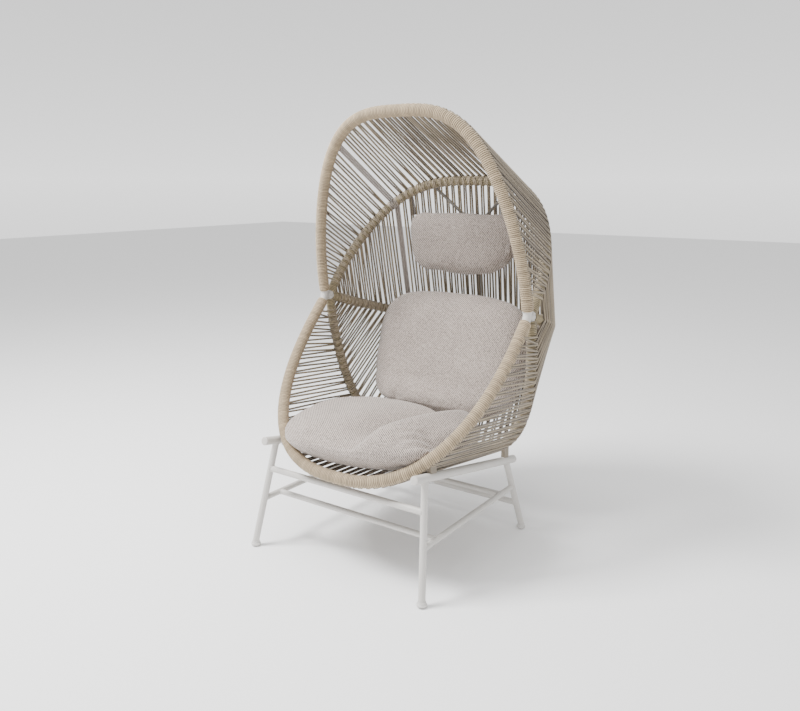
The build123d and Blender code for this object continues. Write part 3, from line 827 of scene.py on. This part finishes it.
# each pad's node, size, squareness of outline and edge, lean, shape and fill
pads = {
    "seat_pad": ("seat_cushion", (0.640, 0.500, 0.140), 2.8, 2.3, -3.0, seat_shape, 0.75),
    "back_pad": ("back_cushion", (0.630, 0.450, 0.150), 3.4, 3.0, 74.0, back_shape, 0.8),
    "head_pad": ("head_pillow", (0.458, 0.221, 0.100), 4.2, 2.3, 97.0, pillow_shape, 0.85),
}
slim, flat = 0.95, 0.86  # shares of its size that an unfilled pad has
voxel, pressure, cap = 0.006, 4.0, 0.014
for name, (node, (width, height, thickness), outline, edge, lean_by, shape, fill) in pads.items():
    low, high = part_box(node)
    centre = (np.array(low) + np.array(high)) / 2
    rings = pad_rings(width * slim, height * slim, thickness * flat, outline, edge, 46, 120)
    pad = piece(name, rings, canvas, [node])
    stuffed(pad, voxel, pressure, cap)
    placed(pad, centre, lean_by, (width, height, thickness), shape)

# ---- Pillow straps ----
# Flat tapes of the same cloth, sewn to the pillow's upper corners. Each rises
# behind the rear hood hoop, turns over it and is tucked under its winding. A
# small tab at the pillow's right edge is what it is pulled straight by.
tape = fabric_finish("tape", (0.36, 0.325, 0.30, 1), (0.07, 0.06, 0.055, 1))


def tapes(lines, across, width, thickness):
    """Rings of a flat band with rounded edges, carried along open lines.

    Across the band a ring is half the width times the cosine to the power
    1/2; square to it, half the thickness times the sine to the same power.
    """
    way = np.gradient(lines, axis=1)
    way /= np.linalg.norm(way, axis=2)[..., None]
    wide = across - (across * way).sum(2)[..., None] * way
    wide /= np.linalg.norm(wide, axis=2)[..., None]
    flat = np.cross(way, wide)
    turn = np.linspace(0, 2 * math.pi, 16, endpoint=False)
    c, s = (np.sign(f) * np.sqrt(np.abs(f)) for f in (np.cos(turn), np.sin(turn)))
    ring = width / 2 * c[:, None] * wide[:, :, None] + thickness / 2 * s[:, None] * flat[:, :, None]
    return lines[:, :, None] + ring


tape_width, tape_thickness = 0.020, 0.0022
tape_reach, tuck = 0.0232, 0.0022  # from the hoop's middle line, and how it sinks in
line = hoop_lines["hood_rear"][0]
high = np.array(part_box("head_pillow")[1])
step = 0.004
for name, grip, corner_x in (("left", -0.250, -0.250), ("right", 0.240, 0.190)):
    hoop_middle, ahead = (
        np.array([x, *(np.interp(x, line[:, 0], line[:, k]) for k in (1, 2))]) for x in (grip, grip + step)
    )
    hoop_way = (ahead - hoop_middle) / step
    hoop_way /= np.linalg.norm(hoop_way)
    sewn = np.array([corner_x, high[1] - 0.034, high[2] - 0.012])
    down = (sewn - hoop_middle) - ((sewn - hoop_middle) @ hoop_way) * hoop_way
    drop = np.linalg.norm(down)
    down /= drop
    behind = np.cross(hoop_way, down)
    behind *= np.sign(behind[1])
    turn = np.linspace(0, 2.0, 14)[:, None]
    loop = hoop_middle + (tape_reach - tuck * turn**2) * (np.cos(turn) * behind - np.sin(turn) * down)
    path = np.concatenate([sewn + np.linspace(0, 1, 12)[:-1, None] * (loop[0] - sewn), loop])[None]
    rings = tapes(path, hoop_way, tape_width, tape_thickness)
    piece("tape_" + name, rings, tape, ["pillow_strap_" + name])
share = np.linspace(0, 1, 16)[:, None]
upper, outer, lower = np.array([[0.182, 0.325, 1.004], [0.214, 0.272, 0.970], [0.158, 0.322, 0.928]])
path = ((1 - share) ** 2 * upper + 2 * share * (1 - share) * outer + share**2 * lower)[None]
tab_across, tab_width, tab_thickness = np.array([0.75, 0.62, 0.2]), 0.015, 0.0030
piece("pillow_tab", tapes(path, tab_across, tab_width, tab_thickness), canvas)

# ---- Floor, light and camera ----
# A wide pale floor under soft studio light, with surroundings that are
# brightest at eye level. None of it is part of the chair.
bpy.ops.mesh.primitive_plane_add(size=30)
floor = bpy.context.object
floor.name = "floor"
paper = Finish("paper", 0.9)
paper.show(Base_Color=(0.97, 0.97, 0.97, 1))
floor.data.materials.append(paper.material)
world = bpy.data.worlds.new("studio")
bpy.context.scene.world = world
world.use_nodes = True
world.node_tree.nodes["Background"].inputs[0].default_value = (1, 1, 1, 1)
tree = world.node_tree
sky = tree.nodes.new("ShaderNodeTexCoord")
height = tree.nodes.new("ShaderNodeSeparateXYZ")
tree.links.new(sky.outputs["Generated"], height.inputs[0])
level = Socket(height.outputs[2])
glow = 1.0 + 0.75 * (1 - abs(level)) ** 6
tree.links.new(glow.output, tree.nodes["Background"].inputs[1])


def softbox(name, place, aim, size, power):
    """Square area light at a place, turned towards an aim."""
    lamp = bpy.data.lights.new(name, "AREA")
    lamp.size, lamp.energy = size, power
    made = bpy.data.objects.new(name, lamp)
    bpy.context.scene.collection.objects.link(made)
    back = np.array(place, float) - aim
    tip = math.acos(back[2] / np.linalg.norm(back))
    made.location = place
    made.rotation_euler = (tip, 0, math.atan2(back[1], back[0]) + math.pi / 2)


middle = np.array([0, 0, 0.7])
softbox("key", (-1.7, -1.7, 3.8), middle, 1.3, 335)
softbox("top", (0.2, -0.5, 4.4), middle, 2.0, 60)

azimuth, elevation = math.radians(35.33), math.radians(12.80)
target, distance = np.array([-0.00285, -0.1032 + centring, 0.64661]), 2.6444
level_way = np.array([math.sin(azimuth), -math.cos(azimuth), 0])
back = math.cos(elevation) * level_way + [0, 0, math.sin(elevation)]
lens = bpy.data.cameras.new("camera")
lens.sensor_width, lens.lens = 36.0, 34.90
camera = bpy.data.objects.new("camera", lens)
bpy.context.scene.collection.objects.link(camera)
camera.location = target + distance * back
camera.rotation_euler = (math.pi / 2 - elevation, 0, azimuth)
bpy.context.scene.camera = camera
